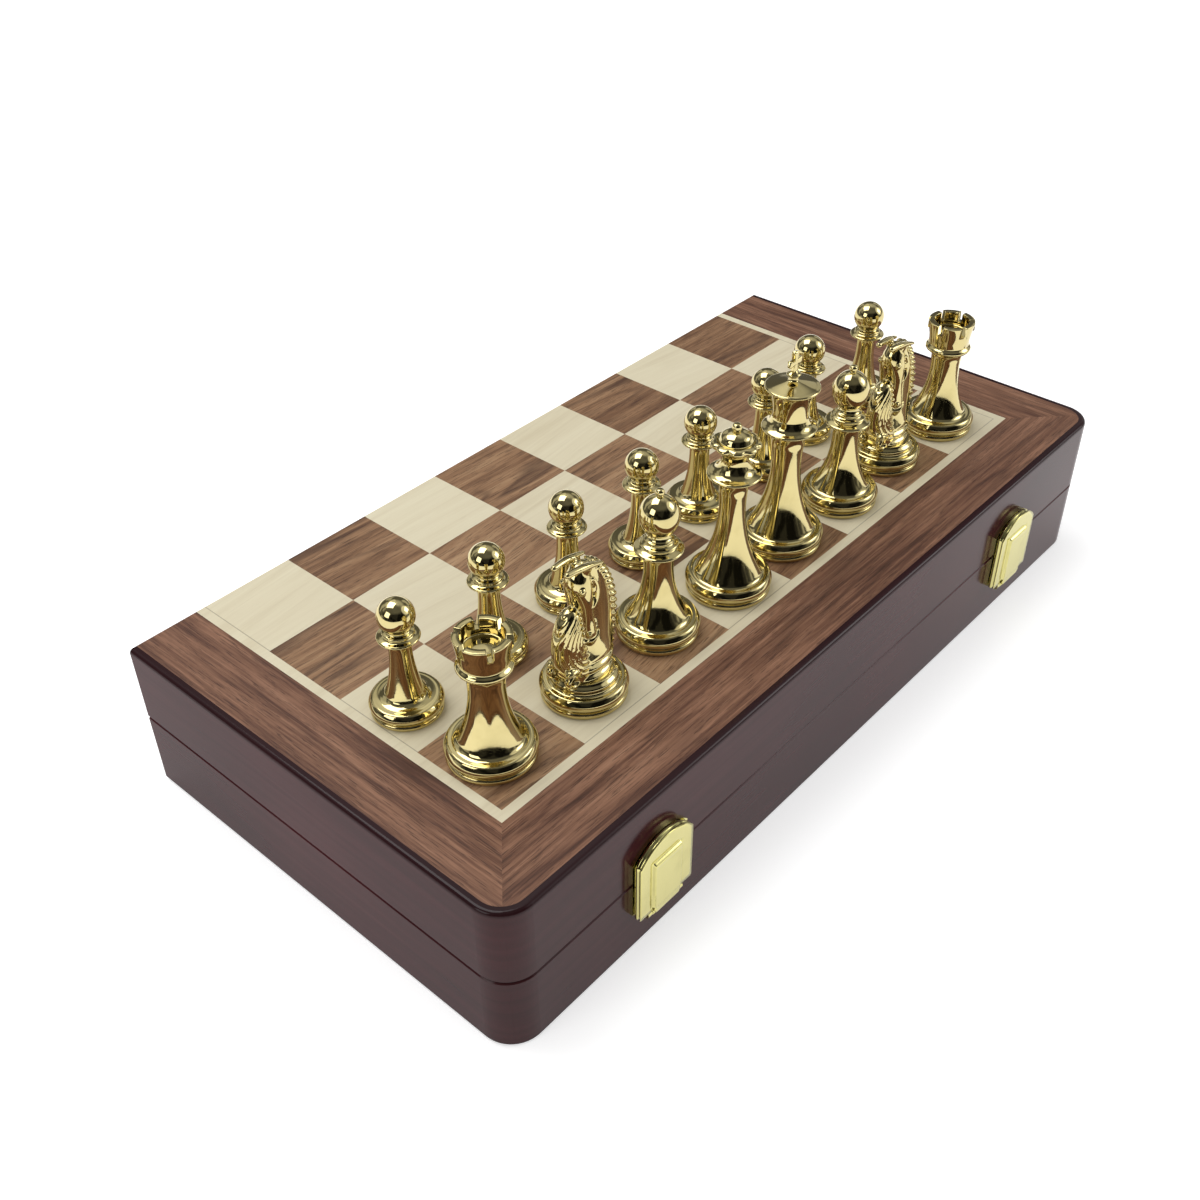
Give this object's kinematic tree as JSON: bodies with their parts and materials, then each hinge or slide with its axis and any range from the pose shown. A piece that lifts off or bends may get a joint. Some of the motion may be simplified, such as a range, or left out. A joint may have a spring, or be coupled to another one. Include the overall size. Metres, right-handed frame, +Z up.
{
  "type": "folding chess set",
  "caption": "Hinged wooden chess board case with clasps and a fitted tray, one metal army set out on top and the other stowed inside.",
  "frame": {"origin": "centre of the flat face that the closed case rests on, measured over the case's 300 by 150 mm plan", "axes": "+X along the long side with the gold army's left rook at the low end, +Y from the clasps to the hinges, +Z up"},
  "size_m": [0.3, 0.1561, 0.118],
  "materials": {
    "case_lacquer": "high gloss lacquer over mahogany",
    "dark_veneer": "satin walnut veneer",
    "pale_veneer": "satin maple veneer",
    "plywood": "plain",
    "tray_felt": "short pile",
    "brass_fittings": "polished",
    "gold_metal": "mirror polished",
    "silver_metal": "mirror polished"
  },
  "bodies": {
    "upper_half": {"upper_front_rail": "case_lacquer", "upper_back_rail": "case_lacquer", "upper_left_rail": "case_lacquer", "upper_right_rail": "case_lacquer", "upper_panel": "plywood", "upper_border": "dark_veneer", "upper_stringing": "pale_veneer", "upper_dark_squares": "dark_veneer", "upper_light_squares": "pale_veneer", "upper_tray_pad": "tray_felt", "upper_tray_dividers": "tray_felt", "upper_hinge_screws": "brass_fittings", "left_hinge_upper_leaf": "brass_fittings", "right_hinge_upper_leaf": "brass_fittings", "hinge_pins": "brass_fittings", "left_clasp_keeper": "brass_fittings", "right_clasp_keeper": "brass_fittings", "clasp_keeper_nails": "brass_fittings"},
    "lower_half": {"lower_front_rail": "case_lacquer", "lower_back_rail": "case_lacquer", "lower_left_rail": "case_lacquer", "lower_right_rail": "case_lacquer", "lower_panel": "plywood", "lower_border": "dark_veneer", "lower_stringing": "pale_veneer", "lower_dark_squares": "dark_veneer", "lower_light_squares": "pale_veneer", "lower_tray_pad": "tray_felt", "lower_tray_dividers": "tray_felt", "lower_hinge_screws": "brass_fittings", "left_hinge_lower_leaf": "brass_fittings", "right_hinge_lower_leaf": "brass_fittings", "left_clasp_pivot_plate": "brass_fittings", "right_clasp_pivot_plate": "brass_fittings", "clasp_pins": "brass_fittings", "clasp_pivot_nails": "brass_fittings", "silver_rooks": "silver_metal", "silver_knights": "silver_metal", "silver_bishops": "silver_metal", "silver_queen": "silver_metal", "silver_king": "silver_metal", "silver_pawns": "silver_metal"},
    "left_clasp": {"left_clasp_cover": "brass_fittings"},
    "right_clasp": {"right_clasp_cover": "brass_fittings"},
    "gold_rook_left_piece": {"gold_rook_left": "gold_metal"},
    "gold_knight_left_piece": {"gold_knight_left": "gold_metal"},
    "gold_bishop_left_piece": {"gold_bishop_left": "gold_metal"},
    "gold_queen_piece": {"gold_queen": "gold_metal"},
    "gold_king_piece": {"gold_king": "gold_metal"},
    "gold_bishop_right_piece": {"gold_bishop_right": "gold_metal"},
    "gold_knight_right_piece": {"gold_knight_right": "gold_metal"},
    "gold_rook_right_piece": {"gold_rook_right": "gold_metal"},
    "gold_pawn_1_piece": {"gold_pawn_1": "gold_metal"},
    "gold_pawn_2_piece": {"gold_pawn_2": "gold_metal"},
    "gold_pawn_3_piece": {"gold_pawn_3": "gold_metal"},
    "gold_pawn_4_piece": {"gold_pawn_4": "gold_metal"},
    "gold_pawn_5_piece": {"gold_pawn_5": "gold_metal"},
    "gold_pawn_6_piece": {"gold_pawn_6": "gold_metal"},
    "gold_pawn_7_piece": {"gold_pawn_7": "gold_metal"},
    "gold_pawn_8_piece": {"gold_pawn_8": "gold_metal"}
  },
  "joints": [
    {"name": "case_hinge", "type": "hinge", "parent": "upper_half", "child": "lower_half", "pos_m": [0, 0.075, 0.026], "axis": [1, 0, 0], "range_deg": [0, 180]},
    {"name": "left_clasp_pivot", "type": "hinge", "parent": "lower_half", "child": "left_clasp", "pos_m": [-0.094, -0.0769, 0.0128], "axis": [1, 0, 0], "range_deg": [0, 100]},
    {"name": "right_clasp_pivot", "type": "hinge", "parent": "lower_half", "child": "right_clasp", "pos_m": [0.094, -0.0769, 0.0128], "axis": [1, 0, 0], "range_deg": [0, 100]},
    {"name": "gold_rook_left_lift", "type": "slide", "parent": "upper_half", "child": "gold_rook_left_piece", "axis": [0, 0, 1], "range_m": [0, 0.1]},
    {"name": "gold_knight_left_lift", "type": "slide", "parent": "upper_half", "child": "gold_knight_left_piece", "axis": [0, 0, 1], "range_m": [0, 0.1]},
    {"name": "gold_bishop_left_lift", "type": "slide", "parent": "upper_half", "child": "gold_bishop_left_piece", "axis": [0, 0, 1], "range_m": [0, 0.1]},
    {"name": "gold_queen_lift", "type": "slide", "parent": "upper_half", "child": "gold_queen_piece", "axis": [0, 0, 1], "range_m": [0, 0.1]},
    {"name": "gold_king_lift", "type": "slide", "parent": "upper_half", "child": "gold_king_piece", "axis": [0, 0, 1], "range_m": [0, 0.1]},
    {"name": "gold_bishop_right_lift", "type": "slide", "parent": "upper_half", "child": "gold_bishop_right_piece", "axis": [0, 0, 1], "range_m": [0, 0.1]},
    {"name": "gold_knight_right_lift", "type": "slide", "parent": "upper_half", "child": "gold_knight_right_piece", "axis": [0, 0, 1], "range_m": [0, 0.1]},
    {"name": "gold_rook_right_lift", "type": "slide", "parent": "upper_half", "child": "gold_rook_right_piece", "axis": [0, 0, 1], "range_m": [0, 0.1]},
    {"name": "gold_pawn_1_lift", "type": "slide", "parent": "upper_half", "child": "gold_pawn_1_piece", "axis": [0, 0, 1], "range_m": [0, 0.1]},
    {"name": "gold_pawn_2_lift", "type": "slide", "parent": "upper_half", "child": "gold_pawn_2_piece", "axis": [0, 0, 1], "range_m": [0, 0.1]},
    {"name": "gold_pawn_3_lift", "type": "slide", "parent": "upper_half", "child": "gold_pawn_3_piece", "axis": [0, 0, 1], "range_m": [0, 0.1]},
    {"name": "gold_pawn_4_lift", "type": "slide", "parent": "upper_half", "child": "gold_pawn_4_piece", "axis": [0, 0, 1], "range_m": [0, 0.1]},
    {"name": "gold_pawn_5_lift", "type": "slide", "parent": "upper_half", "child": "gold_pawn_5_piece", "axis": [0, 0, 1], "range_m": [0, 0.1]},
    {"name": "gold_pawn_6_lift", "type": "slide", "parent": "upper_half", "child": "gold_pawn_6_piece", "axis": [0, 0, 1], "range_m": [0, 0.1]},
    {"name": "gold_pawn_7_lift", "type": "slide", "parent": "upper_half", "child": "gold_pawn_7_piece", "axis": [0, 0, 1], "range_m": [0, 0.1]},
    {"name": "gold_pawn_8_lift", "type": "slide", "parent": "upper_half", "child": "gold_pawn_8_piece", "axis": [0, 0, 1], "range_m": [0, 0.1]}
  ]
}
